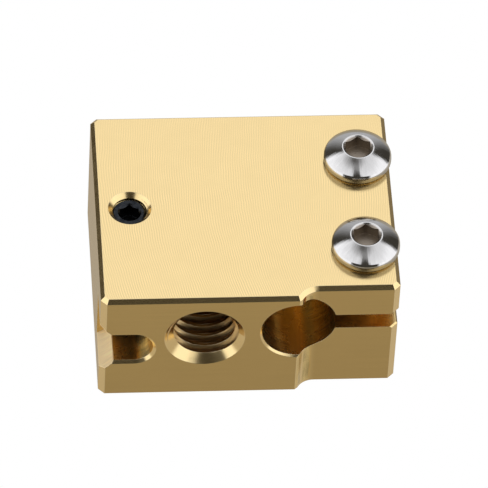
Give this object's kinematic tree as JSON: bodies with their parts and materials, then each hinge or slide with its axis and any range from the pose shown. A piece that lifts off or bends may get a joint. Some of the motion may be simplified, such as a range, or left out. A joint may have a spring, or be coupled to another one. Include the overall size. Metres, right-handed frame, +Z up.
{
  "type": "hotend heater block",
  "caption": "Brass heater block with a through melt thread, a clamped heater bore, a sensor bore with a wire slot, button-head clamp screws and a sensor set screw.",
  "frame": {"origin": "middle of the block's underside; the two screw heads stand 0.2 mm past its right face", "axes": "+X across the block towards the clamp side, +Y from the nozzle end to the heat-break end, +Z up along the screws"},
  "size_m": [0.0242, 0.02, 0.0132],
  "materials": {
    "brass": "milled, fine tool marks, satin",
    "stainless_steel": "mirror-polished",
    "black_steel": "black oxide, oiled"
  },
  "bodies": {
    "block": {"heater_block": "brass"},
    "front_screw": {"front_clamp_screw": "stainless_steel"},
    "rear_screw": {"rear_clamp_screw": "stainless_steel"},
    "set_screw": {"sensor_set_screw": "black_steel"}
  },
  "joints": [
    {"name": "front_screw_travel", "type": "slide", "parent": "block", "child": "front_screw", "axis": [0, 0, 1], "range_m": [0, 0.0052]},
    {"name": "rear_screw_travel", "type": "slide", "parent": "block", "child": "rear_screw", "axis": [0, 0, 1], "range_m": [0, 0.0052]},
    {"name": "set_screw_travel", "type": "slide", "parent": "block", "child": "set_screw", "axis": [0, 0, 1], "range_m": [-0.0008, 0.0034]}
  ]
}
